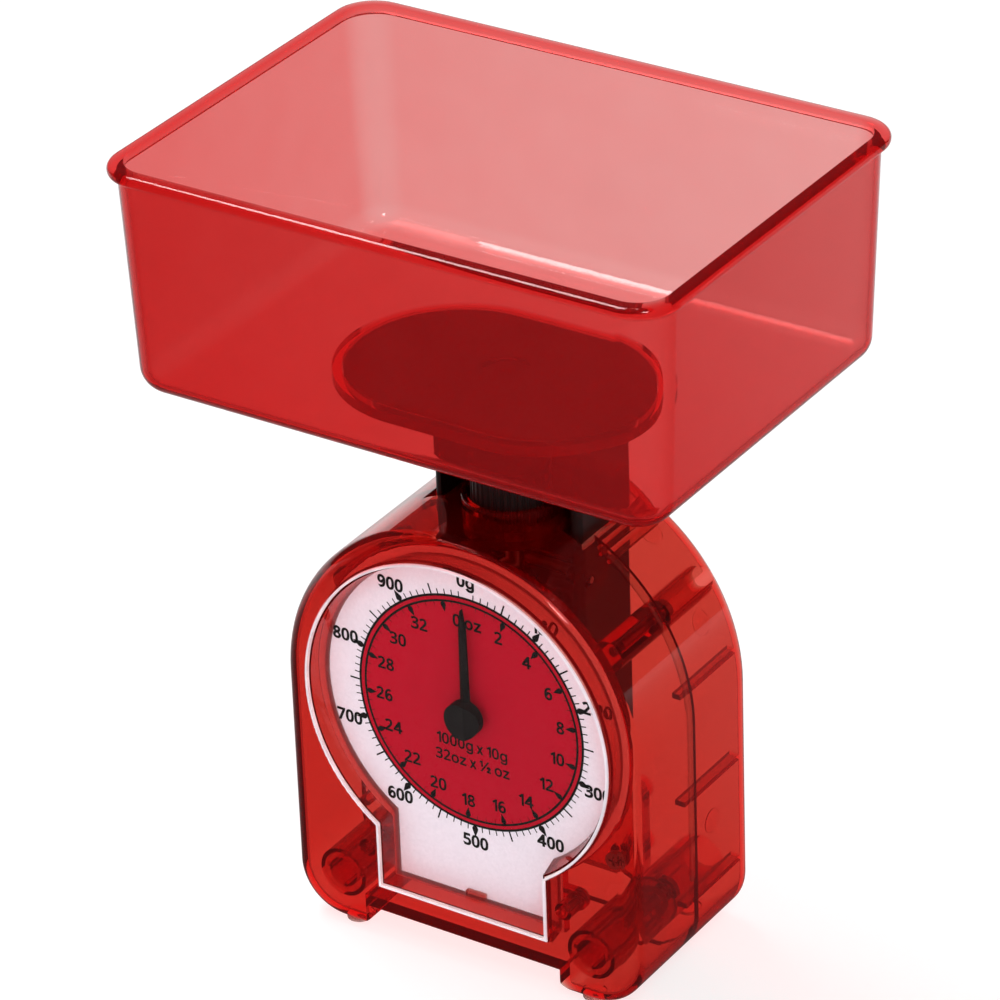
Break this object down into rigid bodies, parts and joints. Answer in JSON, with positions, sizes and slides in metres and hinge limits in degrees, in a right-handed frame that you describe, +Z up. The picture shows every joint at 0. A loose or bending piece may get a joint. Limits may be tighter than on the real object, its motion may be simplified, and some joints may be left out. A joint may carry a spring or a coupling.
{
  "type": "kitchen scale",
  "caption": "Mechanical kitchen scale: clear red bowl on a sprung platform over an arched clear red case with a round dial, a pointer and a zero knob.",
  "frame": {"origin": "on the table, under the centre of the bowl", "axes": "+X to the right of someone reading the dial, +Y away from them, +Z up"},
  "size_m": [0.17, 0.124, 0.2345],
  "materials": {
    "clear_red": "clear red moulded polystyrene, polished",
    "clear_window": "clear polystyrene, polished",
    "red_backing": "clear dark red moulded plastic",
    "dial_print": "white card printed red and black",
    "black_plastic": "black moulded plastic, fine satin",
    "knob_black": "black moulded plastic, semi-gloss",
    "pointer_black": "black moulded plastic, gloss",
    "brass": "turned",
    "steel": "zinc plated"
  },
  "bodies": {
    "housing": {"front_shell": "clear_red", "rear_shell": "clear_red", "window_lens": "clear_window", "dial_card": "dial_print", "dial_plate": "red_backing", "pointer_bush": "brass", "gear_bridge": "black_plastic", "mechanism_frame": "clear_red", "case_screws": "steel", "frame_screws": "steel", "dial_screws": "steel", "bridge_screws": "steel"},
    "platform": {"platform_plate": "black_plastic", "platform_column": "black_plastic", "platform_screws": "steel", "spring_yoke": "black_plastic", "yoke_screws": "steel", "rack": "black_plastic", "rack_screw": "steel"},
    "bowl": {"bowl": "clear_red"},
    "pointer": {"pointer": "pointer_black", "pinion_shaft": "steel"},
    "upper_links": {"upper_link_arms": "black_plastic", "upper_link_pins": "steel", "upper_pivot_rod": "steel"},
    "lower_links": {"lower_link_arms": "black_plastic", "lower_link_pins": "steel", "lower_pivot_rod": "steel"},
    "zero_knob": {"zero_knob": "knob_black"},
    "spring_anchor": {"anchor_screw": "steel", "main_spring": "steel"}
  },
  "joints": [
    {"name": "platform_slide", "type": "slide", "parent": "housing", "child": "platform", "axis": [0, 0, -1], "range_m": [0, 0.01414], "stiffness_N_per_m": 693.8, "springref_m": -0.0032, "deforming": ["main_spring"]},
    {"name": "bowl_lift", "type": "slide", "parent": "platform", "child": "bowl", "axis": [0, 0, 1], "range_m": [0, 0.08]},
    {"name": "pointer_spin", "type": "hinge", "parent": "housing", "child": "pointer", "pos_m": [0, -0.025, 0.0764], "axis": [0, 1, 0], "range_deg": [0, 365]},
    {"name": "upper_link_pivot", "type": "hinge", "parent": "housing", "child": "upper_links", "pos_m": [0, 0.014, 0.104], "axis": [1, 0, 0], "range_deg": [0, 62]},
    {"name": "lower_link_pivot", "type": "hinge", "parent": "housing", "child": "lower_links", "pos_m": [0, 0.014, 0.058], "axis": [1, 0, 0], "range_deg": [0, 62]},
    {"name": "zero_knob_turn", "type": "hinge", "parent": "housing", "child": "zero_knob", "pos_m": [0, 0, 0.135], "axis": [0, 0, 1], "range_deg": [-720, 720]},
    {"name": "anchor_slide", "type": "slide", "parent": "housing", "child": "spring_anchor", "axis": [0, 0, 1], "range_m": [-0.0021, 0.0021]}
  ],
  "couplings": [
    {"joint": "pointer_spin", "follows": "platform_slide", "rad_per_m": 444.44},
    {"joint": "upper_link_pivot", "follows": "platform_slide", "rad_per_m": 74.88},
    {"joint": "lower_link_pivot", "follows": "platform_slide", "rad_per_m": 74.88},
    {"joint": "anchor_slide", "follows": "zero_knob_turn", "m_per_rad": 0.00015915}
  ]
}
